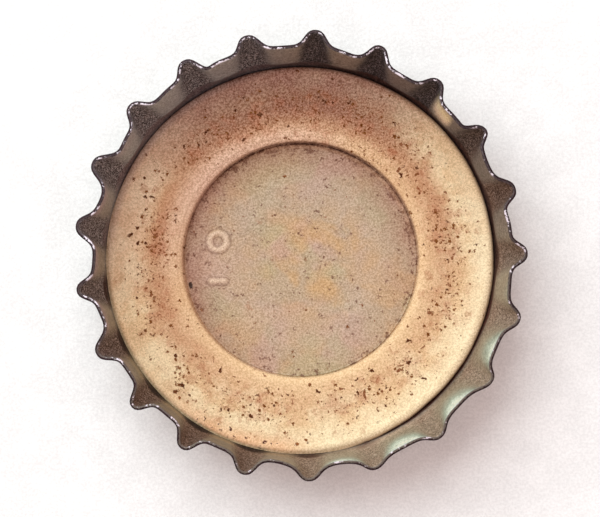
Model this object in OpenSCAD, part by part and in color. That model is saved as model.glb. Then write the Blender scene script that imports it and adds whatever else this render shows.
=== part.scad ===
// Used crown bottle cap, lying open side up on its flat panel.
// Two pieces: the pressed tinplate shell with its fluted skirt, and the plastic
// liner moulded into it. Origin at the middle of the panel's outside face, +Z up
// through the open mouth.

/* [Shell] */
// Height from the panel's outside face to the rim of the flute valleys
crown_h = 6; // [5.6:0.1:7]
// Thickness of the tinplate
sheet_t = 0.24; // [0.2:0.01:0.3]
// Diameter of the flat of the panel, inside the rounded corner
panel_d = 23.8; // [20:0.2:28]
// Inside radius of the corner between panel and skirt
corner_r = 1.75; // [1.4:0.05:2]

/* [Flutes] */
// Number of teeth round the skirt
teeth = 21; // [15:1:24]
// Outward lean of the skirt in the valleys, in degrees
valley_lean = 7; // [6:0.2:12]
// Outward lean of the skirt along the tooth crests, in degrees
crest_lean = 22; // [18:0.2:26]
// Share of the pitch that a tooth takes at half its height, at the rim
crest_share = 0.29; // [0.22:0.01:0.4]
// Steepness of a tooth's flanks at the rim, where 2 is a plain wave
flank_power = 2.8; // [2:0.1:4]

/* [Uneven teeth] */
// How far the teeth drift round the skirt in one wave, in degrees
drift_once = 1.2; // [0:0.1:1.6]
// Direction in which that wave starts, in degrees from +X
drift_once_dir = 15; // [-180:1:180]
// How far the teeth drift in two waves, in degrees
drift_twice = 0.8; // [0:0.1:1.2]
// Direction in which those waves start, in degrees from +X
drift_twice_dir = -59; // [-180:1:180]

/* [Prised side] */
// Direction of the side that the bottle opener lifted, in degrees from +X
prise_dir = -50; // [-180:1:180]
// Extra lean of the valleys there, which flattens the flutes, in degrees
prise_lean = 5.8; // [0:0.2:8]
// How far round the flattened flutes reach to each side, in degrees
prise_reach = 55; // [30:1:90]
// Lean that the whole skirt gains towards that side and loses across it
oval_lean = 1.8; // [0:0.1:3]

/* [Liner] */
// Thickness of the thin web over the middle of the panel
web_t = 0.25; // [0.15:0.05:0.4]
// Diameter of the recess over the web
recess_d = 16.5; // [14:0.1:17]
// Height of the ring's inner bead above the panel
bead_h = 1.15; // [0.9:0.05:1.4]
// Radius of the inner bead's rounded crest
bead_r = 0.42; // [0.3:0.02:0.5]
// Height of the ring's outer shoulder above the panel
shoulder_h = 1.35; // [1.1:0.05:1.6]
// Radius of the shoulder's rounded edge
shoulder_r = 0.3; // [0.2:0.02:0.4]
// Depth of the hollow that the bottle's lip pressed between bead and shoulder
lip_hollow = 0.32; // [0.15:0.01:0.45]
// Gap between the liner's edge and the shell's rounded corner
edge_gap = 0.04; // [0.02:0.01:0.1]

/* [Hidden] */

// Shell
panel_r = panel_d / 2;
pitch = 360 / teeth;
valley_arc = corner_arc(valley_lean);
crest_arc = corner_arc(crest_lean);
valley_rise = crown_h - sheet_t - corner_r * (1 - sin(valley_lean));
// Length of the sheet from the panel's flat to the rim, the same on every meridian
// because the shell is drawn from a round blank
sheet_len = valley_arc + valley_rise / cos(valley_lean);

// Share and steepness of a flute where it starts, at the corner: a plain wave
root_share = 0.5;
root_power = 2;

// Stations of the loft: along the sheet, and round each tooth
corner_rows = 5;
skirt_rows = 5;
tooth_steps = 12;
crest_crowding = 1.3;
nudge = 0.01;

// Liner
floor_z = sheet_t;
recess_r = recess_d / 2;
corner_z = floor_z + corner_r;
bead_z = floor_z + bead_h - bead_r;
bead_x = recess_r + bead_r;
shoulder_z = floor_z + shoulder_h - shoulder_r;
shoulder_x = cavity_r(shoulder_z) - shoulder_r;
// The hollow is one arc from the bead's crest to the shoulder's crest
hollow_span = norm([shoulder_x - bead_x, shoulder_h - bead_h]);
hollow_r = (pow(hollow_span / 2, 2) + pow(lip_hollow, 2)) / (2 * lip_hollow);
hollow_tilt = atan2(shoulder_h - bead_h, shoulder_x - bead_x);
hollow_mid = [(bead_x + shoulder_x) / 2, floor_z + (bead_h + shoulder_h) / 2];
hollow_up = hollow_r - lip_hollow;
// How far the ring's straight sides stay below its two round edges, inside them
tuck = 0.02;

$fn = 96;

// Inside radius of the shell's corner at height z, less the liner's gap
function cavity_r(z) =
    panel_r + sqrt(pow(corner_r - edge_gap, 2) - pow(corner_z - z, 2));

// Length of the sheet in the rounded corner, up to a skirt with this lean
function corner_arc(tip) = corner_r * (90 - tip) * PI / 180;

// Direction in which the evenly spaced meridian at turn deg ends up
function drifted(deg) =
    deg + drift_once * sin(deg - drift_once_dir) + drift_twice * sin(2 * (deg - drift_twice_dir));

// 1 at the middle of the prised side and 0 beyond its reach, with a broad top
function prised(deg) =
    let (off = abs((deg - prise_dir + 540) % 360 - 180))
    off < prise_reach ? 1 - pow(sin(90 * off / prise_reach), 4) : 0;

// 1 on a tooth's crest and 0 in the valleys; the teeth narrow towards the rim, where
// their tips are blunt and their flanks run out into broad valleys
function flute(turn, s) =
    let (
        up = max(s - crest_arc, 0) / (sheet_len - crest_arc),
        share = root_share + (crest_share - root_share) * up,
        power = root_power + (flank_power - root_power) * up,
        crest = pow(abs(cos(180 * turn / pitch)), power),
        valley = pow(abs(sin(180 * turn / pitch)) / tan(90 * share), power)
    )
    crest / (crest + valley);

// Radius and height of the inside, s along the sheet of a skirt with this lean
function meridian(tip, s) =
    let (
        arc = corner_arc(tip),
        bend = min(s, arc) / corner_r * 180 / PI,
        run = max(s - arc, 0)
    )
    [
        panel_r + corner_r * sin(bend) + run * sin(tip),
        corner_z - corner_r * cos(bend) + run * cos(tip)
    ];

// Point on the shell's inside, between the valley's and the crest's meridian
function inside_point(turn, s) =
    let (
        deg = drifted(turn),
        oval = oval_lean * cos(2 * (deg - prise_dir)),
        valley = meridian(valley_lean + oval + prise_lean * prised(deg), s),
        crest = meridian(crest_lean + oval, s),
        rz = valley + (crest - valley) * flute(turn, s)
    )
    [rz.x * cos(deg), rz.x * sin(deg), rz.y];

// Unit normal of the inside, pointing out through the sheet
function outward(turn, s) =
    let (
        round_it = inside_point(turn + nudge, s) - inside_point(turn - nudge, s),
        along_it = inside_point(turn, s + nudge) - inside_point(turn, s - nudge),
        across = cross(round_it, along_it)
    )
    across / norm(across);

function outside_point(turn, s) = inside_point(turn, s) + sheet_t * outward(turn, s);

// Turns of the loft's meridians, crowded towards the crests
function tooth_share(i) =
    let (x = 2 * i / tooth_steps - 1)
    sign(x) * pow(abs(x), crest_crowding) / 2;
turns = [for (k = [0 : teeth - 1], i = [0 : tooth_steps - 1]) pitch * (k + tooth_share(i))];
stations = concat(
    [for (i = [0 : corner_rows]) crest_arc * i / corner_rows],
    [for (i = [1 : skirt_rows]) crest_arc + (sheet_len - crest_arc) * i / skirt_rows]
);

// Two triangles between rows i and j of the loft, at column k of n
function strip(i, j, k, n) =
    let (a = i * n + k, b = i * n + (k + 1) % n, c = j * n + (k + 1) % n, d = j * n + k)
    [[a, b, c], [a, c, d]];

module crown_shell() {
    n = len(turns);
    rows = len(stations);
    inside = [for (s = stations, t = turns) inside_point(t, s)];
    outside = [for (s = stations, t = turns) outside_point(t, s)];
    inside_faces = [for (i = [0 : rows - 2], k = [0 : n - 1]) each strip(i + 1, i, k, n)];
    outside_faces = [for (i = [0 : rows - 2], k = [0 : n - 1]) each strip(rows + i, rows + i + 1, k, n)];
    rim = [for (k = [0 : n - 1]) each strip(2 * rows - 1, rows - 1, k, n)];
    panel = [[for (k = [0 : n - 1]) k], [for (k = [n - 1 : -1 : 0]) rows * n + k]];
    color([0.48, 0.45, 0.37])
        polyhedron(concat(inside, outside), concat(inside_faces, outside_faces, rim, panel));
}

// Half section of the space inside the shell's floor and rounded corner
module cavity_section() {
    translate([0, floor_z]) square([panel_r, corner_r]);
    intersection() {
        translate([panel_r, corner_z]) circle(corner_r - edge_gap);
        translate([panel_r, floor_z]) square([corner_r, corner_r]);
    }
}

// Half section of the thick sealing ring: bead, lip hollow and shoulder
module ring_section() {
    difference() {
        polygon([
            [recess_r, floor_z],
            [shoulder_x + corner_r, floor_z],
            [shoulder_x + corner_r, shoulder_z - tuck],
            [shoulder_x, shoulder_z - tuck],
            [shoulder_x, floor_z + shoulder_h - tuck],
            [bead_x, floor_z + bead_h - tuck],
            [recess_r, bead_z]
        ]);
        translate(hollow_mid + hollow_up * [-sin(hollow_tilt), cos(hollow_tilt)]) circle(hollow_r);
    }
    translate([bead_x, bead_z]) circle(bead_r);
    translate([shoulder_x, shoulder_z]) circle(shoulder_r);
}

module liner() {
    color([0.89, 0.75, 0.55])
        rotate_extrude()
            intersection() {
                cavity_section();
                union() {
                    translate([0, floor_z]) square([recess_r, web_t]);
                    ring_section();
                }
            }
}

crown_shell();
liner();
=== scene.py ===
"""Looks of a used bottle cap: the fluted tinplate shell and the plastic liner moulded
into it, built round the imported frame. The cap's lengths are in millimetres until a mesh
is made, and those of the table, the lights and the camera are in metres."""
import math

import bpy
import numpy as np
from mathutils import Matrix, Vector


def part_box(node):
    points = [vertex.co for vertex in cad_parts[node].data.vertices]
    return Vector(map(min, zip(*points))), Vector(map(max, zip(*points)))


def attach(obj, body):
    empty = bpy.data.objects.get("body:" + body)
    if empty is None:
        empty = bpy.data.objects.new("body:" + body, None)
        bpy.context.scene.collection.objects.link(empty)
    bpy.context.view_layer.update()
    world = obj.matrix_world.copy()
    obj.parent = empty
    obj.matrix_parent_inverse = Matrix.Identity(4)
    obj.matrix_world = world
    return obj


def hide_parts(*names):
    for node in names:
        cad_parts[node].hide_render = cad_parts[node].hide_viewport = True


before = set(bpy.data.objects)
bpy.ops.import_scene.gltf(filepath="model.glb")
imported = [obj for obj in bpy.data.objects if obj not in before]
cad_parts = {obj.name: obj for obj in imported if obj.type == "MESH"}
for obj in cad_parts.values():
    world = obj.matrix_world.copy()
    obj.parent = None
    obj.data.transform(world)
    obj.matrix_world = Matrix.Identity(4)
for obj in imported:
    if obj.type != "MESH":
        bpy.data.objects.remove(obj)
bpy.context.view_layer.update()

MM = 0.001
rng = np.random.default_rng(26)

# ---------------------------------------------------------------- sizes of the cap

liner_low, liner_high = (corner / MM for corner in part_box("liner"))

# Shell
SHEET = liner_low.z
CORNER_R = 1.75
PANEL_R = 11.9
CROWN_H = 6.0
CORNER_Z = SHEET + CORNER_R

# Flutes
TEETH = 21
PITCH = 360 / TEETH
VALLEY_LEAN = 7
CREST_LEAN = 22
ROOT_SHARE = 0.5
ROOT_POWER = 2
CREST_SHARE = 0.29
FLANK_POWER = 2.8
DRIFT_ONCE = 1.2
DRIFT_ONCE_DIR = 15
DRIFT_TWICE = 0.8
DRIFT_TWICE_DIR = -59

# Side that the bottle opener lifted
PRISE_DIR = -50
PRISE_LEAN = 5.8
PRISE_REACH = 55
OVAL_LEAN = 1.8

# Liner
WEB_Z = SHEET + 0.25
RECESS_R = 8.25
BEAD_R = 0.42
BEAD_TOP = SHEET + 1.15
SHOULDER_R = 0.15
SHOULDER_TOP = liner_high.z
LIP_HOLLOW = 0.32
EDGE_GAP = 0.02


# ---------------------------------------------------------------- form of the shell

def sin(deg):
    return np.sin(np.radians(deg))


def cos(deg):
    return np.cos(np.radians(deg))


def corner_arc(lean):
    """Length of the sheet in the rounded corner, up to a skirt with this lean."""
    return CORNER_R * np.radians(90 - lean)


VALLEY_RISE = CROWN_H - SHEET - CORNER_R * (1 - sin(VALLEY_LEAN))
SHEET_LEN = corner_arc(VALLEY_LEAN) + VALLEY_RISE / cos(VALLEY_LEAN)
CREST_ARC = corner_arc(CREST_LEAN)

# Each tooth's own lean and sideways bend in degrees, and its width as a share of the
# pitch, as the crimping left them
tooth_rng = np.random.default_rng(21)
tooth_lean = tooth_rng.normal(0.4, 0.4, TEETH)
tooth_side = tooth_rng.normal(0, 0.2, TEETH)
tooth_share = tooth_rng.normal(0, 0.02, TEETH)

# Teeth that the opener and the years bent further: their direction, lean and sideways bend
bent_teeth = [
    (18, -1.1, 0),
    (35, 1.2, 0),
    (52, -1.0, 0),
    (206, 0.8, 0),
    (222, 1.5, 0),
    (255, -0.9, 0),
    (272, -2.6, 0),
    (290, -2.0, -0.7),
    (308, 0.8, 0),
    (325, 0, 1.1),
    (343, 0.6, 0.4),
]
for direction, lean, side in bent_teeth:
    tooth = round(direction / PITCH) % TEETH
    tooth_lean[tooth] += lean
    tooth_side[tooth] += side


def drifted(turn):
    """Direction in which the evenly spaced meridian at this turn ends up."""
    return turn + DRIFT_ONCE * sin(turn - DRIFT_ONCE_DIR) + DRIFT_TWICE * sin(2 * (turn - DRIFT_TWICE_DIR))


def prised(deg):
    """1 at the middle of the prised side and 0 beyond its reach."""
    off = np.abs((deg - PRISE_DIR + 540) % 360 - 180)
    return np.where(off < PRISE_REACH, 1 - sin(90 * np.minimum(off / PRISE_REACH, 1)) ** 4, 0)


def along_skirt(s):
    """0 where the flutes start, at the corner, and 1 at the rim."""
    return np.maximum(s - CREST_ARC, 0) / (SHEET_LEN - CREST_ARC)


def tooth_of(turn):
    return np.round(turn / PITCH).astype(int) % TEETH


def flute(turn, s):
    """1 on a tooth's crest and 0 in the valleys; the teeth narrow towards the rim."""
    up = along_skirt(s)
    softened = prised(drifted(turn))
    share = CREST_SHARE + tooth_share[tooth_of(turn)] + 0.02 * softened
    share = ROOT_SHARE + (share - ROOT_SHARE) * up
    power = ROOT_POWER + (FLANK_POWER - 0.4 * softened - ROOT_POWER) * up
    crest = np.abs(cos(180 * turn / PITCH)) ** power
    valley = (np.abs(sin(180 * turn / PITCH)) / np.tan(np.radians(90 * share))) ** power
    return crest / (crest + valley)


def meridian(lean, s):
    """Radius and height of the inside, s along the sheet of a skirt with this lean."""
    arc = corner_arc(lean)
    bend = np.minimum(s, arc) / CORNER_R
    run = np.maximum(s - arc, 0)
    radius = PANEL_R + CORNER_R * np.sin(bend) + run * sin(lean)
    height = CORNER_Z - CORNER_R * np.cos(bend) + run * cos(lean)
    return radius, height


# Small knocks in the skirt: direction, place along the skirt, width in degrees and depth;
# the deeper ones that follow are at the rim, in the valleys and beside some of the teeth
SMALL_KNOCKS = 34
KNOCK_HEIGHT = 0.3
knocks = [
    (rng.uniform(0, 360), rng.uniform(0.3, 1.0), rng.uniform(3, 9), rng.uniform(-0.07, 0.07))
    for _ in range(SMALL_KNOCKS)
]
knocks += [
    (8, 1.0, 4, 0.18),
    (30, 1.0, 3, 0.12),
    (37, 1.0, 2.5, -0.2),
    (75, 1.0, 3, -0.1),
    (117, 1.0, 2.3, -0.2),
    (128, 1.0, 4, 0.12),
    (150, 1.0, 3, -0.12),
    (163, 1.0, 4, -0.22),
    (179, 1.0, 6, -0.16),
    (199, 1.0, 3.5, -0.17),
    (263, 1.0, 5, -0.17),
    (281, 1.0, 6, -0.26),
]


def knocked(deg, up):
    """How far the knocks push the sheet out at a place on the skirt."""
    push = 0 * deg
    for middle, place, width, depth in knocks:
        off = ((deg - middle + 540) % 360 - 180) / width
        push = push + depth * np.exp(-off ** 2 - ((up - place) / KNOCK_HEIGHT) ** 2)
    return push * np.minimum(up * 3, 1)


def inside_point(turn, s):
    """Point on the shell's inside, between the valley's and the crest's meridian."""
    crest_share = flute(turn, s)
    up = along_skirt(s)
    tooth = tooth_of(turn)
    deg = drifted(turn) + tooth_side[tooth] * crest_share * up
    oval = OVAL_LEAN * cos(2 * (deg - PRISE_DIR))
    valley_r, valley_z = meridian(VALLEY_LEAN + oval + PRISE_LEAN * prised(deg), s)
    crest_r, crest_z = meridian(CREST_LEAN + oval + tooth_lean[tooth], s)
    radius = valley_r + (crest_r - valley_r) * crest_share + knocked(deg, up)
    height = valley_z + (crest_z - valley_z) * crest_share
    return np.stack([radius * cos(deg), radius * sin(deg), height], -1)


def outward(turn, s, nudge=0.02):
    """Unit normal of the inside, pointing out through the sheet."""
    round_it = inside_point(turn + nudge, s) - inside_point(turn - nudge, s)
    along_it = inside_point(turn, s + nudge) - inside_point(turn, s - nudge)
    across = np.cross(round_it, along_it)
    return across / np.linalg.norm(across, axis=-1, keepdims=True)


# Side on which the liner has come away from the skirt, and the side where it still touches
OPEN_DIR = 46
OPEN_REACH = 123
OPEN_FADE = 15
SHUT_DIR = 222


def clip_cos(deg, middle):
    """1 in one direction, falling to 0 a quarter turn to either side."""
    return np.clip(cos(deg - middle), 0, 1)


def open_side(deg):
    """1 where the liner has come away from the skirt, and 0 where it still touches."""
    off = np.abs((deg - OPEN_DIR + 540) % 360 - 180)
    return np.clip((OPEN_REACH - off) / OPEN_FADE, 0, 1)


def gap_width(deg):
    """How wide the gap beside the liner is, as a share of its widest."""
    return open_side(deg) * (1 - 0.75 * clip_cos(deg, 150) ** 4)


def shut_side(deg):
    """1 in the middle of the side where the liner still touches, and 0 on the far side."""
    return np.clip(0.3 + 0.8 * cos(deg - SHUT_DIR), 0, 1)


# ---------------------------------------------------------------- meshes

def turned_skin(name, rings, start, end):
    """A closed mesh from the point start, through rings of points, to the point end."""
    rows, columns = rings.shape[:2]
    verts = [start] + list(rings.reshape(-1, 3)) + [end]
    last = len(verts) - 1
    faces = []
    for k in range(columns):
        after = (k + 1) % columns
        faces.append((0, 1 + k, 1 + after))
        faces.append((last, last - columns + after, last - columns + k))
        for i in range(rows - 1):
            near = 1 + i * columns
            far = near + columns
            faces.append((near + k, far + k, far + after, near + after))
    mesh = bpy.data.meshes.new(name)
    mesh.from_pydata([tuple(p) for p in np.array(verts) * MM], [], faces)
    mesh.shade_smooth()
    piece = bpy.data.objects.new(name, mesh)
    bpy.context.scene.collection.objects.link(piece)
    return piece


def paint(piece, name, values, first, last):
    """Stores one number per point for a finish to read; the two end points get their own."""
    layer = piece.data.attributes.new(name, "FLOAT", "POINT")
    layer.data.foreach_set("value", np.concatenate([[first], values.ravel(), [last]]).astype(np.float32))


def finish_rows(piece, columns, row_finish):
    """Gives each row of quads, and the two end fans, its own finish."""
    slots = []
    for finish in row_finish:
        if finish not in slots:
            slots.append(finish)
            piece.data.materials.append(finish)
    per_column = [row_finish[0], row_finish[-1]] + row_finish[1:-1]
    index = [slots.index(finish) for finish in per_column]
    piece.data.polygons.foreach_set("material_index", np.array(index * columns, np.int32))


# ---------------------------------------------------------------- shader maths

def tint(red, green, blue):
    """A colour given as display values from 0 to 255."""
    def linear(value):
        share = value / 255
        return share / 12.92 if share <= 0.04045 else ((share + 0.055) / 1.055) ** 2.4
    return (linear(red), linear(green), linear(blue), 1)


class Val:
    """A socket of a finish, which Python's operators work on."""

    def __init__(self, finish, socket):
        self.finish = finish
        self.socket = socket

    def maths(self, operation, *values):
        return self.finish.node("ShaderNodeMath", {"operation": operation}, dict(enumerate(values)))

    def __add__(self, other):
        return self.maths("ADD", self, other)

    def __sub__(self, other):
        return self.maths("SUBTRACT", self, other)

    def __rsub__(self, other):
        return self.maths("SUBTRACT", other, self)

    def __mul__(self, other):
        return self.maths("MULTIPLY", self, other)

    def __truediv__(self, other):
        return self.maths("DIVIDE", self, other)

    def __pow__(self, other):
        return self.maths("POWER", self, other)

    __radd__ = __add__
    __rmul__ = __mul__

    def limited(self):
        """Kept between 0 and 1."""
        return self.finish.node("ShaderNodeClamp", {}, {0: self})

    def rise(self, low, high):
        """0 below low, 1 above high, and smooth between."""
        return self.finish.node(
            "ShaderNodeMapRange",
            {"interpolation_type": "SMOOTHSTEP"},
            {"Value": self, "From Min": low, "From Max": high},
        )

    def fall(self, low, high):
        """1 below low, 0 above high, and smooth between."""
        return 1 - self.rise(low, high)

    def hump(self, middle, width):
        """1 at middle and 0 beyond width to either side."""
        off = self.maths("ABSOLUTE", self - middle)
        return off.fall(0, width)


class Finish:
    """One material, made of a Principled shader and the nodes that feed it."""

    def __init__(self, name, **uniform):
        self.material = bpy.data.materials.new(name)
        self.material.use_nodes = True
        self.tree = self.material.node_tree
        self.shader = self.tree.nodes["Principled BSDF"]
        for socket, value in uniform.items():
            self.shader.inputs[socket.replace("_", " ")].default_value = value
        place = self.node("ShaderNodeTexCoord", {}, {}, "Object")
        self.place = self.node("ShaderNodeVectorMath", {"operation": "SCALE"}, {0: place, "Scale": 1 / MM})
        self.x = self.node("ShaderNodeSeparateXYZ", {}, {0: self.place}, "X")
        self.y = self.node("ShaderNodeSeparateXYZ", {}, {0: self.place}, "Y")
        self.z = self.node("ShaderNodeSeparateXYZ", {}, {0: self.place}, "Z")
        self.radius = (self.x * self.x + self.y * self.y) ** 0.5

    def node(self, kind, settings, inputs, output=0):
        """Makes a node: its settings first, then the values or links of its sockets."""
        made = self.tree.nodes.new(kind)
        for key, value in settings.items():
            setattr(made, key, value)
        for socket, value in inputs.items():
            if isinstance(value, Val):
                self.tree.links.new(value.socket, made.inputs[socket])
            else:
                made.inputs[socket].default_value = value
        return Val(self, made.outputs[output])

    def feed(self, socket, value):
        self.tree.links.new(value.socket, self.shader.inputs[socket])

    def mix(self, factor, first, second, blend="MIX"):
        """A colour between two others."""
        settings = {"data_type": "RGBA", "blend_type": blend, "clamp_factor": True, "clamp_result": True}
        return self.node("ShaderNodeMix", settings, {0: factor, 6: first, 7: second}, 2)

    def painted(self, name):
        """A number stored on the mesh."""
        return self.node("ShaderNodeAttribute", {"attribute_name": name}, {}, "Fac")

    def moved(self, shift, stretch=(1, 1, 1)):
        """The place, shifted and stretched, so that each pattern has its own."""
        inputs = {"Location": shift, "Scale": stretch}
        return self.node("ShaderNodeMapping", {}, {"Vector": self.place, **inputs})

    def cloud(self, per_mm, shift=0, detail=4, rough=0.55, warp=0, stretch=(1, 1, 1)):
        """Soft noise from 0 to 1 with this many waves to the millimetre."""
        at = self.moved((shift, -2 * shift, 3 * shift), stretch)
        inputs = {"Vector": at, "Scale": per_mm, "Detail": detail, "Roughness": rough, "Distortion": warp}
        return self.node("ShaderNodeTexNoise", {}, inputs)

    def wandering(self, at, per_mm, reach):
        """A place that noise moves about, so that round shapes there come out ragged."""
        stir = self.node("ShaderNodeTexNoise", {}, {"Vector": at, "Scale": per_mm, "Detail": 2}, 1)
        off = self.node("ShaderNodeVectorMath", {"operation": "SUBTRACT"}, {0: stir, 1: (0.5, 0.5, 0.5)})
        step = self.node("ShaderNodeVectorMath", {"operation": "SCALE"}, {0: off, "Scale": reach})
        return self.node("ShaderNodeVectorMath", {"operation": "ADD"}, {0: at, 1: step})

    def flecks(self, per_mm, share, shift=0):
        """1 on irregular flecks: the highest few of fine noise, more of them where share is more."""
        ripple = self.cloud(per_mm, shift, detail=3, rough=0.62, warp=0.3)
        return (ripple + 0.1 * share).rise(0.695, 0.73)

    def specks(self, per_mm, amount, size, shift=0, kind="2D"):
        """1 on small ragged specks, which fill this share of a grid of cells."""
        at = self.wandering(self.moved((shift, shift, 0)), 2 * per_mm, 0.9 / per_mm)
        inputs = {"Vector": at, "Scale": per_mm}
        gap = self.node("ShaderNodeTexVoronoi", {"voronoi_dimensions": kind}, inputs, "Distance")
        cell = self.node("ShaderNodeTexVoronoi", {"voronoi_dimensions": kind}, inputs, "Color")
        pick = self.node("ShaderNodeSeparateColor", {}, {0: cell}, 0)
        grade = self.node("ShaderNodeSeparateColor", {}, {0: cell}, 1)
        ragged = self.cloud(3 * per_mm, shift, detail=2) - 0.5
        chosen = (amount - pick).rise(0, 0.02)
        reach = (0.35 + 0.65 * grade * grade + 1.8 * ragged) * size
        return (reach - gap).rise(0, size * 0.4) * chosen

    def grainy(self, colour, amount, grain):
        """The colour with light and dark grain that looks equally strong on every tint."""
        seen = self.node("ShaderNodeGamma", {}, {0: colour, 1: 1 / 2.2})
        seen = self.mix(amount, seen, grain.rise(0.35, 0.65), "LINEAR_LIGHT")
        return self.node("ShaderNodeGamma", {}, {0: seen, 1: 2.2})

    def toward(self, deg, spread):
        """1 in one direction from the middle and 0 beyond the spread to either side."""
        along = (self.x * float(cos(deg)) + self.y * float(sin(deg))) / self.radius
        return along.rise(float(cos(spread)), 1)

    def relief(self, height, depth_mm):
        """Fine relief that is too small for the mesh."""
        inputs = {"Height": height, "Distance": depth_mm * MM, "Strength": 1.0}
        return self.node("ShaderNodeBump", {}, inputs)


# ---------------------------------------------------------------- finishes

def liner_plastic():
    """Cream sealing plastic, yellowed and dirty, with black and brown specks, and with painted light and
    shade on its ring, web and edge.
    """
    f = Finish("aged_liner_plastic", Specular_IOR_Level=0.1)
    blotch = f.cloud(0.5, 11, detail=5, rough=0.62)
    patches = f.cloud(0.28, 31, detail=4)
    grain = f.cloud(7.5, 5, detail=2, rough=0.8)
    shadowed_dirty_side = f.toward(95, 64)
    lit_side = f.toward(-70, 95)

    # Ring: cream shoulder and bead, tan in the hollow that the bottle's lip pressed, with painted light
    # that makes it paler on the side towards the lamp and painted shade that makes it pinker and browner
    # on the far side
    ring = f.mix(blotch.rise(0.42, 0.58), tint(240, 213, 172), tint(230, 194, 150))
    bead = f.radius.fall(8.9, 10.4)
    # Painted light: the shoulder is paler on the side towards the lamp
    shoulder = lit_side * f.radius.rise(11.2, 12.8)
    ring = f.mix(shoulder * 0.8, ring, tint(253, 232, 192))
    # Painted light: the shoulder is paler on the right as well
    ring = f.mix(f.toward(0, 45) * f.radius.rise(11.2, 12.8) * 0.35, ring, tint(253, 232, 196))
    ring = f.mix(bead * 0.8, ring, tint(221, 181, 140))
    # Painted light: the bead is paler on the side towards the lamp
    ring = f.mix(bead * lit_side * 0.5, ring, tint(236, 205, 160))
    # Painted light: the bead is lighter and pinker on the side away from the lamp, lifting its shade
    ring = f.mix(bead * f.toward(116, 60) * 0.55, ring, tint(226, 190, 172))
    # Tan dirt in the hollow, with less of it on the lit side, which is painted light
    tan = f.radius.hump(10.1, 1.8) * (0.55 + 0.8 * blotch) * (1 - 0.68 * lit_side)
    ring = f.mix(tan, ring, tint(196, 147, 111))
    # Painted shade: a pinker cast on the side away from the lamp, outside the hollow
    pink_shade = f.toward(152, 48) * (1 - f.radius.hump(10.4, 1.3))
    ring = f.mix(pink_shade * 0.4, ring, tint(210, 172, 152))
    # Soot and the skirt's painted shadow: browner towards the skirt on the side away from the lamp
    soot_and_shadow = shadowed_dirty_side * f.radius.rise(8.9, 10.9) * (0.7 + 0.5 * blotch)
    soot_shadow_brown = f.mix(f.radius.rise(11.4, 12.8), tint(153, 105, 85), tint(165, 120, 105))
    ring = f.mix(soot_and_shadow * 0.95, ring, soot_shadow_brown)

    # Web: grey-tan with greenish and mauve clouds, orange near the middle, pink at the edge, where painted
    # shade also darkens it away from the lit side
    web = f.mix(patches.rise(0.42, 0.58), tint(193, 160, 124), tint(185, 161, 134))
    mauve = f.cloud(0.22, 51, detail=2).rise(0.46, 0.6)
    web = f.mix(mauve * 0.5, web, tint(191, 155, 143))
    green = f.cloud(0.26, 71, detail=2).rise(0.46, 0.6)
    web = f.mix(green * 0.5, web, tint(180, 168, 132))
    web = f.mix(f.radius.hump(4.8, 2.6) * 0.45, web, tint(187, 165, 148))
    near_middle = (((f.x - 1.6) * (f.x - 1.6) + (f.y + 0.3) * (f.y + 0.3)) ** 0.5).fall(1.6, 5.6)
    rusty = f.cloud(0.45, 21, detail=3, warp=0.5).rise(0.42, 0.66) * near_middle
    web = f.mix(rusty * 0.62, web, tint(200, 158, 108))
    edge_side = 1 - 0.85 * lit_side
    shaded = f.radius.rise(5.4, 8.2) * (0.2 + 1.2 * blotch) * edge_side
    web = f.mix(shaded * 0.9, web, tint(160, 118, 100))
    step_side = 0.35 + 0.65 * f.toward(65, 90)
    near_step = f.radius.rise(7.2, 8.2) * step_side
    crumble = f.cloud(2.4, 61, detail=4, rough=0.65)
    crumbs = (crumble + 0.2 * near_step).rise(0.61, 0.68)
    web = f.mix(crumbs * 0.75, web, tint(106, 66, 50))
    # Painted light: lifts the shade in the corner at the web's rim at the back
    web = f.mix(f.radius.hump(8.02, 0.26) * f.toward(65, 70) * 0.35, web, tint(214, 170, 136))
    edge = f.radius - 0.05 * f.toward(80, 90)
    step = edge.hump(8.22, 0.25)
    # Dark brown line along the step at the back: partly crumbled dirt, partly painted shade where the step
    # faces away from the lamp
    web = f.mix(step * f.toward(86, 56) * crumble.rise(0.38, 0.58), web, tint(84, 50, 36))
    # Painted light: the step is lighter on the left
    web = f.mix(step * f.toward(200, 45) * 0.6, web, tint(212, 170, 134))
    marks = f.painted("marks")
    web = f.mix(marks.hump(0.2, 0.2) * 0.45, web, tint(120, 88, 72))
    web = f.mix(marks.rise(0.35, 1.0) * 0.8, web, tint(224, 196, 170))
    clot = f.toward(193, 2.2) * f.radius.hump(7.92, 0.22)
    web = f.mix(clot.rise(0.2, 0.6) * 0.9, web, tint(46, 30, 26))

    on_ring = edge.rise(RECESS_R - 0.1, RECESS_R + 0.12)
    colour = f.mix(on_ring, web, ring)

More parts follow.
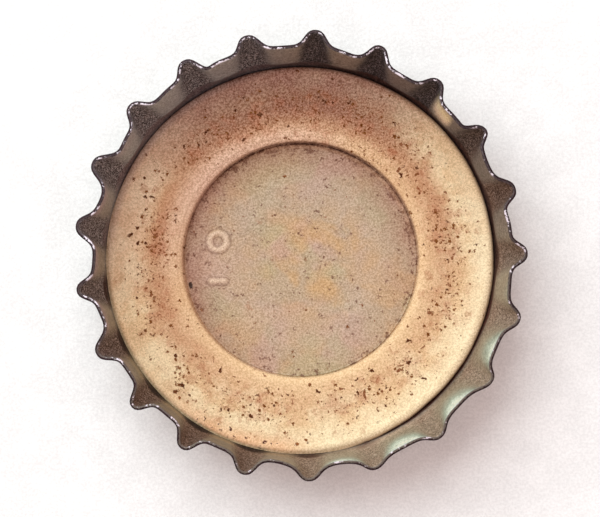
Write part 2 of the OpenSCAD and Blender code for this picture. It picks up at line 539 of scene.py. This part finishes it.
    # Dirt specks, most of them in the hollow, in reddish stains
    in_ring = (1.15 * f.radius.hump(10.5, 3.0)).limited() * on_ring
    crowd = 0.25 + 0.55 * patches.rise(0.44, 0.56)
    crowd = crowd + 0.2 * f.toward(30, 60) * f.radius.fall(8.8, 10.6)
    crowd = crowd + 0.35 * f.toward(180, 30) * f.radius.hump(9.6, 0.8)
    crowd = crowd + 0.4 * f.toward(210, 55) * f.radius.hump(11.2, 1.8)
    crowd = crowd + 0.35 * f.toward(-30, 45) * f.radius.hump(10.1, 1.6)
    crowd = crowd * in_ring * (1 - 0.7 * f.toward(240, 100) * f.radius.fall(8.8, 9.5))
    crowd = crowd * (1 - 0.45 * f.toward(120, 50) * f.radius.rise(11.2, 11.8))
    crowd = (crowd + 0.22 * f.toward(240, 80) * f.radius.hump(12.6, 0.6)).limited()
    stain = f.cloud(1.1, 17, detail=3).rise(0.46, 0.66) * crowd
    colour = f.mix(stain * 0.5, colour, tint(178, 112, 82))
    colour = f.mix(f.flecks(2.4, crowd, 27) * 0.9, colour, tint(126, 70, 36))
    colour = f.mix(f.flecks(4.6, crowd, 43) * 0.9, colour, tint(120, 68, 34))
    small_share = 0.02 + 0.35 * crowd
    large_share = 0.015 + 0.27 * crowd
    colour = f.mix(f.specks(1.5, large_share, 0.8, 13) * 0.35, colour, tint(160, 92, 56))
    colour = f.mix(f.specks(3.4, small_share, 0.56, 2), colour, tint(120, 68, 26))
    colour = f.mix(f.specks(1.9, large_share, 0.37, 13), colour, tint(90, 46, 18))

    # The edge is given painted shade towards the skirt, greyer on the upper left, with grime and painted
    # gap shade where it stands off, a green-grey painted shade where it touches, and rust on one side
    rust = f.toward(250, 30) * f.radius.rise(11.9, 13.3) * (0.4 + blotch)
    colour = f.mix(rust * 0.6, colour, tint(222, 150, 104))
    rust_dots = f.specks(2.2, 0.6 * f.toward(250, 24) * f.radius.rise(12.6, 13.1), 0.5, 29)
    colour = f.mix(rust_dots * 0.95, colour, tint(78, 28, 20))
    touching = f.toward(215, 75)
    # Painted shade on the rounded edge, multiplied in towards the skirt
    edge_shade = (f.radius - 0.14 * touching + 0.2 * f.toward(-42, 55)).rise(12.95, 13.6)
    edge_shade = edge_shade * (1 - 0.6 * f.toward(152, 40))
    # Painted shade: the edge greyer and darker on the upper left
    colour = f.mix(f.toward(140, 50) * f.radius.rise(12.8, 13.3) * 0.5, colour, tint(150, 132, 126))
    colour = f.mix(edge_shade, colour, tint(196, 184, 180), "MULTIPLY")
    # Painted shade: green-grey where the edge meets the skirt, on the side where it touches
    edge_olive_shade = f.toward(222, 68) * f.radius.rise(13.38, 13.54)
    colour = f.mix(edge_olive_shade * 0.85, colour, tint(172, 152, 122))
    # Grime and painted gap shade: a dark, ragged band where the edge stands off the skirt
    grime_and_gap_shade = (f.painted("grime_and_gap_shade") * (0.7 + 0.6 * blotch + 2.5 * (grain - 0.5))).rise(0.3, 0.9)
    edge_grime_shade_tint = f.mix(f.toward(135, 45), tint(66, 42, 36), tint(112, 98, 96))
    colour = f.mix(grime_and_gap_shade * 0.9, colour, edge_grime_shade_tint)
    colour = f.grainy(colour, 0.074 + (0.045 * shadowed_dirty_side - 0.008) * on_ring, grain)

    f.feed("Base Color", colour)
    f.feed("Roughness", 0.5 + 0.2 * blotch + 0.2 * grime_and_gap_shade)
    f.feed("Normal", f.relief(grain, 0.03))
    return f.material


def lacquered_inside():
    """Inside of the skirt: tinplate under thin lacquer, stained brown in the flutes, with painted shade in
    the flutes and painted light and highlights on the valleys.
    """
    f = Finish("lacquered_inside", Metallic=0.6)
    blotch = f.cloud(0.55, 4, detail=5, rough=0.65)
    mottle = f.cloud(2.6, 9, detail=4, rough=0.7)
    grain = f.cloud(6.5, 12, detail=2, rough=0.8)

    # Valleys: plate that is lighter at the back and darker at the front and on the right, with painted
    # light at the wall's foot in front and a painted highlight on the prised valleys
    plate = f.mix(mottle.rise(0.4, 0.6), tint(140, 135, 124), tint(160, 155, 144))
    plate = f.mix(f.toward(130, 46), plate, tint(172, 181, 183))
    plate = f.mix(f.toward(236, 48), plate, tint(116, 110, 100))
    plate = f.mix(f.toward(36, 45), plate, tint(106, 102, 106))
    plate = f.mix(f.toward(-50, 62), plate, tint(152, 146, 132))
    plate = f.mix(f.z.rise(4.0, 5.4) * f.toward(180, 45) * 0.6, plate, tint(166, 150, 164))
    # Painted light: lifts the shade at the wall's foot, at the front left and front right
    plate = f.mix(f.z.fall(2.4, 3.6) * f.toward(236, 44) * 0.75, plate, tint(160, 144, 114))
    plate = f.mix(f.z.fall(1.9, 3.0) * f.toward(-61, 18) * 0.8, plate, tint(214, 202, 186))
    # Painted highlight: greenish-white sheen on the prised valleys, brightest near the rim
    painted_valley_highlight = f.painted("painted_valley_highlight") * (0.6 + 0.8 * blotch)
    plate = f.mix(painted_valley_highlight.rise(0.12, 0.6) * 0.8, plate, tint(160, 190, 186))
    plate = f.mix(painted_valley_highlight.rise(0.46, 0.82) * 0.95, plate, tint(226, 252, 250))

    # Flutes: brown stain, with painted shade that makes it nearly black on the side away from the lamp and
    # paler on the lit side
    stain_and_shade = f.mix(f.toward(250, 75), tint(102, 96, 98), tint(105, 82, 72))
    stain_and_shade = f.mix(f.toward(20, 36), stain_and_shade, tint(100, 78, 68))
    stain_and_shade = f.mix(f.toward(66, 46), stain_and_shade, tint(38, 31, 37))
    stain_and_shade = f.mix(f.toward(-48, 66), stain_and_shade, tint(150, 131, 114))
    stain_and_shade = f.grainy(stain_and_shade, 0.14 + 0.18 * f.toward(120, 140), f.cloud(8.5, 19, detail=2, rough=0.8))
    pocket = (f.painted("pocket") + 0.6 * (blotch - 0.5)).rise(0.2, 0.8)
    colour = f.mix(pocket * 0.92, plate, stain_and_shade)
    freckle = f.specks(2.2, 0.12 + 0.2 * blotch, 0.4, 3, "3D")
    colour = f.mix(freckle * 0.4, colour, tint(84, 54, 46))
    # Grime and painted gap shade at the wall's foot, where the liner stands off and where the pockets meet
    # it
    grime_and_gap_shade = (f.painted("grime_and_gap_shade") * (0.5 + blotch + 2.5 * (grain - 0.5))).rise(0.3, 0.8)
    foot = f.z.fall(1.8, 3.4) * f.toward(-35, 80)
    colour = f.mix(foot * 0.25, colour, tint(150, 104, 82))
    # Colour of that band: near black at the front left, grey and lighter at the back, red-brown on the
    # prised side
    gap_grime_shade_tint = f.mix(f.toward(238, 50), tint(58, 30, 24), tint(30, 14, 12))
    gap_grime_shade_tint = f.mix(f.toward(132, 60), gap_grime_shade_tint, tint(100, 86, 88))
    gap_grime_shade_tint = f.mix(f.toward(154, 34), gap_grime_shade_tint, tint(122, 106, 106))
    gap_grime_shade_tint = f.mix(f.toward(-45, 50), gap_grime_shade_tint, tint(96, 46, 34))
    colour = f.mix(grime_and_gap_shade * 0.94, colour, gap_grime_shade_tint)
    smear = (f.toward(45.5, 4.6) * f.z.hump(4.2, 2.8) * (0.7 + mottle)).limited()
    pale = f.mix(f.z.rise(3.2, 5.2), tint(255, 240, 216), tint(252, 242, 204))
    colour = f.mix(smear, colour, pale)
    colour = f.grainy(colour, 0.1, grain)

    f.feed("Base Color", colour)
    f.feed("Roughness", 0.36 + 0.2 * mottle + 0.2 * pocket - 0.1 * painted_valley_highlight)
    f.feed("Normal", f.relief(mottle + 0.5 * grain, 0.02))
    return f.material


def cut_edge():
    """The sheet's cut rim: its outer burr is rusted dark, and its inner half carries painted glints in
    places, most of them towards the lamp.
    """
    f = Finish("cut_edge", Metallic=0.7)
    patch = f.cloud(0.8, 6, detail=2)
    ragged = f.cloud(3.2, 33, detail=3, rough=0.75)
    fine = f.cloud(6, 15, detail=2)
    across = f.painted("across")
    inner = f.mix(fine.rise(0.4, 0.6), tint(58, 46, 50), tint(92, 80, 80))
    inner = f.mix(f.toward(-80, 110) * 0.65, inner, tint(132, 122, 110))
    glint = 0.55 * patch + 0.45 * ragged + 0.025 * f.toward(140, 70) - 0.03 * f.toward(275, 85)
    inner = f.mix(glint.rise(0.53, 0.575) * 0.9, inner, tint(238, 228, 236))
    burr = f.mix(fine.rise(0.4, 0.6), tint(28, 14, 18), tint(58, 38, 42))
    outer = across + 1.3 * (fine - 0.5) + 0.07 * f.toward(130, 80)
    colour = f.mix(outer.rise(0.4, 0.58), inner, burr)
    f.feed("Base Color", colour)
    f.feed("Roughness", 0.45 + 0.3 * patch)
    f.feed("Normal", f.relief(fine, 0.01))
    return f.material


def plain_outside():
    """Outside of the shell: plain dull tinplate, rubbed and freckled."""
    f = Finish("plain_outside", Metallic=0.85)
    blotch = f.cloud(0.3, 2, detail=5, rough=0.6)
    drawn = f.cloud(1.2, 14, detail=4, stretch=(0.2, 6, 1))
    colour = f.mix(blotch.rise(0.35, 0.7), tint(168, 166, 160), tint(140, 134, 124))
    freckle = f.specks(1.6, 0.12 + 0.2 * blotch, 0.5, 5, "3D")
    colour = f.mix(freckle * 0.8, colour, tint(98, 58, 38))
    f.feed("Base Color", colour)
    f.feed("Roughness", 0.28 + 0.22 * blotch + 0.15 * drawn)
    f.feed("Normal", f.relief(drawn, 0.004))
    return f.material


# ---------------------------------------------------------------- shell

def make_shell():
    tooth_steps = 36
    corner_rows = 10
    skirt_rows = 26
    flat_rings = [0.5, 0.9]
    turns = np.arange(TEETH * tooth_steps) * PITCH / tooth_steps
    stations = np.concatenate([
        np.linspace(0, CREST_ARC, corner_rows, endpoint=False),
        np.linspace(CREST_ARC, SHEET_LEN, skirt_rows),
    ])
    turn, s = np.meshgrid(turns, stations)
    inside = inside_point(turn, s)
    normal = outward(turn, s)
    outside = inside + SHEET * normal

    # The cut edge bulges a little between its two corners
    bulge = 0.035
    across = np.array([0.12, 0.3, 0.5, 0.7, 0.88])
    rim = inside[-1] + across[:, None, None] * (outside[-1] - inside[-1])
    along = inside[-1] - inside[-2]
    along = along / np.linalg.norm(along, axis=-1, keepdims=True)
    rim = rim + bulge * np.sqrt(4 * across * (1 - across))[:, None, None] * along

    floor_inside = np.stack([inside[0] * (share, share, 1) for share in flat_rings])
    floor_outside = np.stack([outside[0] * (share, share, 1) for share in reversed(flat_rings)])
    rings = np.concatenate([floor_inside, inside, rim, outside[::-1], floor_outside])
    piece = turned_skin("tinplate_shell", rings, (0, 0, SHEET), (0, 0, 0))

    n_inside = len(flat_rings) + len(stations)
    n_outside = len(stations) + len(flat_rings)
    inner, edge, outer = lacquered_inside(), cut_edge(), plain_outside()
    finish_rows(piece, len(turns), [inner] * n_inside + [edge] * (len(across) + 1) + [outer] * n_outside)

    # Brown stains in the flutes' pockets, grime and painted gap shade where the liner stands off and at
    # the pockets' feet, and a painted highlight on the prised valleys
    first = len(flat_rings)
    rim_start = first + len(stations)
    rim_end = rim_start + len(across)
    inner_rows = slice(first, rim_start)
    deg = drifted(turn)
    up = along_skirt(s)
    in_flute = flute(turn, s) ** 0.6 * np.minimum(up * 5, 1)
    pocket = np.zeros(rings.shape[:2])
    pocket[inner_rows] = in_flute * (1 - 0.4 * prised(deg))
    grime_and_gap_shade = np.zeros(rings.shape[:2])
    gap_top = 2.4 - 0.7 * prised(deg) + 0.2 * clip_cos(deg, 135) ** 6
    in_gap = np.clip((gap_top - inside[..., 2]) / (0.5 - 0.25 * prised(deg)), 0, 1) * open_side(deg)
    in_foot = np.clip((2.3 - inside[..., 2]) / 0.12, 0, 1) * flute(turn, s) ** 0.5 * shut_side(deg)
    grime_and_gap_shade[inner_rows] = 0.9 * np.maximum(in_gap, in_foot)
    # Painted highlight on the prised valleys, strongest near the rim
    painted_valley_highlight = np.zeros(rings.shape[:2])
    painted_valley_highlight[inner_rows] = prised(deg) * (1 - in_flute) * np.clip(up * 1.3 - 0.3, 0, 1)
    rim_across = np.zeros(rings.shape[:2])
    rim_across[rim_start:rim_end] = across[:, None]
    rim_across[rim_end] = 1
    paint(piece, "pocket", pocket, 0, 0)
    paint(piece, "grime_and_gap_shade", grime_and_gap_shade, 0, 0)
    paint(piece, "painted_valley_highlight", painted_valley_highlight, 0, 0)
    paint(piece, "across", rim_across, 0, 0)
    return piece


# ---------------------------------------------------------------- liner

def liner_edge_gap(deg):
    """How far the liner's edge has shrunk from the skirt in each direction."""
    uneven = 0.3 * sin(7 * deg + 40) + 0.2 * sin(13 * deg - 20) + 0.15 * sin(29 * deg + 75)
    return (0.03 + 0.04 * prised(deg)) * gap_width(deg) * (1 + uneven)


def ring_height(radius):
    """Height of the sealing ring: bead, lip hollow and shoulder, blended."""
    bead_x = RECESS_R + BEAD_R
    bead_z = BEAD_TOP - BEAD_R
    shoulder_z = SHOULDER_TOP - SHOULDER_R
    shoulder_x = cavity_radius(shoulder_z) - SHOULDER_R
    span = math.hypot(shoulder_x - bead_x, SHOULDER_TOP - BEAD_TOP)
    hollow_r = ((span / 2) ** 2 + LIP_HOLLOW ** 2) / (2 * LIP_HOLLOW)
    tilt = math.atan2(SHOULDER_TOP - BEAD_TOP, shoulder_x - bead_x)
    hollow_x = (bead_x + shoulder_x) / 2 - (hollow_r - LIP_HOLLOW) * math.sin(tilt)
    hollow_z = (BEAD_TOP + SHOULDER_TOP) / 2 + (hollow_r - LIP_HOLLOW) * math.cos(tilt)
    hollow = hollow_z - np.sqrt(hollow_r ** 2 - (radius - hollow_x) ** 2)
    bead = bead_z + np.sqrt(np.maximum(BEAD_R ** 2 - (radius - bead_x) ** 2, 0))
    shoulder = shoulder_z + np.sqrt(np.maximum(SHOULDER_R ** 2 - (radius - shoulder_x) ** 2, 0))
    soft = 0.03  # how far the three forms run into one another
    tops = np.stack([hollow, bead, shoulder])
    return soft * np.log(np.exp(tops / soft).sum(0)) - soft * 0.3


def cavity_radius(height):
    """Inside radius of the shell's corner, less the liner's gap."""
    return PANEL_R + np.sqrt((CORNER_R - EDGE_GAP) ** 2 - (CORNER_Z - height) ** 2)


# Generic mould marks on the web: a small ring over a short bar
MARK_X = -5.8
MARK_H = 0.13
MARK_WIDTH = 0.22
RING_Y = 1.3
RING_R = 0.6
BAR_Y = -1.5
BAR_HALF = 0.5


def mould_marks(x, y):
    """Height of the raised marks above the web."""
    off_ring = np.abs(np.hypot(x - MARK_X, y - RING_Y) - RING_R)
    off_bar = np.hypot(np.maximum(np.abs(x - MARK_X) - BAR_HALF, 0), y - BAR_Y)
    nearest = np.minimum(off_ring, off_bar)
    return MARK_H * np.exp(-(nearest / MARK_WIDTH) ** 2)


def make_liner():
    columns = 600
    fillet_r = 0.12
    theta = np.arange(columns) * 360 / columns
    web_r = np.linspace(fillet_r, RECESS_R - fillet_r, 74)
    foot_r = RECESS_R - fillet_r * np.cos(np.linspace(0.25, 1, 5) * math.pi / 2)
    foot_z = WEB_Z + fillet_r * (1 - np.sin(np.arccos((RECESS_R - foot_r) / fillet_r)))
    bead_turn = np.radians(np.linspace(175, 95, 9))
    bead_r = RECESS_R + BEAD_R * (1 + np.cos(bead_turn))
    bead_z = BEAD_TOP - BEAD_R * (1 - np.sin(bead_turn))
    shoulder_z = SHOULDER_TOP - SHOULDER_R
    shoulder_x = float(cavity_radius(shoulder_z)) - SHOULDER_R
    top_r = np.linspace(RECESS_R + BEAD_R, shoulder_x, 34)
    edge_turn = np.radians(np.linspace(84, 0, 8))
    edge_r = shoulder_x + SHOULDER_R * np.cos(edge_turn)
    edge_z = shoulder_z + SHOULDER_R * np.sin(edge_turn)
    side_z = np.linspace(shoulder_z - 0.15, SHEET + 0.02, 7)
    side_r = cavity_radius(side_z)
    under_r = np.array([PANEL_R, 6.0])

    profile_r = np.concatenate([web_r, foot_r, bead_r, top_r, edge_r, side_r, under_r])
    profile_z = np.concatenate([
        np.full(len(web_r), WEB_Z), foot_z, bead_z, ring_height(top_r), edge_z, side_z,
        np.full(len(under_r), SHEET),
    ])
    radius = profile_r[:, None] + 0 * theta
    height = profile_z[:, None] + 0 * theta
    deg = theta[None, :] + 0 * radius

    # The edge has shrunk from the skirt on the open side and is squeezed up against it on
    # the other, and the bottle's lip left the hollow uneven
    n_top = len(profile_r) - len(under_r)
    edge_start = n_top - len(side_z) - len(edge_z)
    edge_end = n_top - len(side_z)
    still_touching = 1 - open_side(deg)
    shrink = np.clip((radius - 12.4) / 1.0, 0, 1) ** 2
    shrink[n_top:] = 0
    radius = radius - liner_edge_gap(deg) * shrink
    on_edge = np.zeros((len(profile_r), 1))
    on_edge[edge_start:edge_end, 0] = np.linspace(0.4, 1, len(edge_z))
    height = height + 0.9 * (SHOULDER_TOP - height) * on_edge * still_touching
    radius = radius + 0.045 * on_edge ** 2 * still_touching
    lip = np.clip(1 - ((radius - 11.1) / 2.2) ** 2, 0, 1)
    wobble = 0.5 * sin(3 * deg + 25) + 0.4 * sin(5 * deg - 60) + 0.25 * sin(11 * deg + 10)
    top_side = np.arange(len(profile_r))[:, None] < edge_end
    height = height + 0.035 * lip * wobble * top_side
    x = radius * cos(deg)
    y = radius * sin(deg)
    on_web = (np.arange(len(profile_r)) < len(web_r))[:, None]
    sag = 0.02 * np.sin(0.9 * x + 1) * np.cos(0.7 * y) + 0.012 * np.sin(2.1 * x - 1.7 * y)
    height = height + on_web * (mould_marks(x, y) + sag * np.clip((8 - radius) / 2, 0, 1))

    rings = np.stack([x, y, height], -1)
    piece = turned_skin("moulded_liner", rings, (0, 0, WEB_Z), (0, 0, SHEET))
    plastic = liner_plastic()
    finish_rows(piece, columns, [plastic] * (len(rings) + 1))

    # Grime and painted gap shade along the edge, most of it where the liner has come away
    start = 13.2 + 0.07 * clip_cos(deg, 150) + 0.12 * prised(deg)
    rim = np.clip((radius + liner_edge_gap(deg) - start) / (0.3 - 0.1 * prised(deg)), 0, 1)
    grime_and_gap_shade = 0.12 + 0.45 * open_side(deg) + 0.2 * prised(deg)
    grime_and_gap_shade = grime_and_gap_shade - 0.12 * clip_cos(deg, 135) ** 4 + 0.07 * clip_cos(deg, 272) ** 6
    paint(piece, "grime_and_gap_shade", rim * grime_and_gap_shade, 0, 0)
    paint(piece, "marks", on_web * mould_marks(x, y) / MARK_H, 0, 0)
    return piece


# ---------------------------------------------------------------- stage

def make_floor():
    """Plain pale table, which is clear from below so that the panel's outside can be seen."""
    mesh = bpy.data.meshes.new("table")
    half = 1.5
    top = 0.01 * MM
    corners = [(-half, -half, top), (half, -half, top), (half, half, top), (-half, half, top)]
    mesh.from_pydata(corners, [], [(0, 1, 2, 3)])
    floor = bpy.data.objects.new("table", mesh)
    bpy.context.scene.collection.objects.link(floor)
    f = Finish("pale_table", Roughness=0.8, Specular_IOR_Level=0.2)
    paper = f.mix(f.cloud(0.4, 1, detail=3).rise(0.4, 0.6), tint(240, 240, 240), tint(245, 245, 245))
    grain = f.cloud(5, 8, detail=2, rough=0.8)
    f.feed("Base Color", f.grainy(paper, 0.024, grain))
    f.feed("Normal", f.relief(f.cloud(1.6, 3, detail=3), 0.045))
    from_below = f.node("ShaderNodeNewGeometry", {}, {}, "Backfacing")
    clear = f.node("ShaderNodeBsdfTransparent", {}, {})
    opaque = Val(f, f.shader.outputs[0])
    table = f.node("ShaderNodeMixShader", {}, {0: from_below, 1: opaque, 2: clear})
    f.tree.links.new(table.socket, f.tree.nodes["Material Output"].inputs["Surface"])
    mesh.materials.append(f.material)


def area_light(name, azimuth, elevation, distance, size, power, colour):
    """A soft light, aimed at the cap."""
    data = bpy.data.lights.new(name, "AREA")
    data.shape = "DISK"
    data.size = size
    data.energy = power
    data.color = colour
    light = bpy.data.objects.new(name, data)
    flat = distance * cos(elevation)
    light.location = (flat * cos(azimuth), flat * sin(azimuth), distance * sin(elevation))
    light.rotation_euler = Vector(light.location).to_track_quat("Z", "Y").to_euler()
    bpy.context.scene.collection.objects.link(light)


def make_lights():
    area_light(
        "key", azimuth=127, elevation=47, distance=0.5, size=0.6, power=2.65, colour=(0.82, 0.98, 1.0)
    )
    world = bpy.data.worlds.new("soft_room")
    world.use_nodes = True
    world.node_tree.nodes["Background"].inputs["Color"].default_value = (1.0, 0.8, 0.765, 1)
    world.node_tree.nodes["Background"].inputs["Strength"].default_value = 0.75
    bpy.context.scene.world = world


def make_camera():
    elevation = 86.5
    distance = 185 * MM
    data = bpy.data.cameras.new("camera")
    data.sensor_width = 36
    data.lens = 157.5
    data.clip_start = 0.01
    camera = bpy.data.objects.new("camera", data)
    aim = Vector((-0.04, 0.13, 0)) * MM
    camera.location = aim + distance * Vector((0, -cos(elevation), sin(elevation)))
    camera.rotation_euler = (math.radians(90 - elevation), 0, 0)
    bpy.context.scene.collection.objects.link(camera)
    bpy.context.scene.camera = camera


make_floor()
make_lights()
make_camera()
bpy.context.scene.view_settings.view_transform = "Standard"

shell = make_shell()
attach(shell, "root")
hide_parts("crown_shell")

liner = make_liner()
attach(liner, "root")
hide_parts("liner")
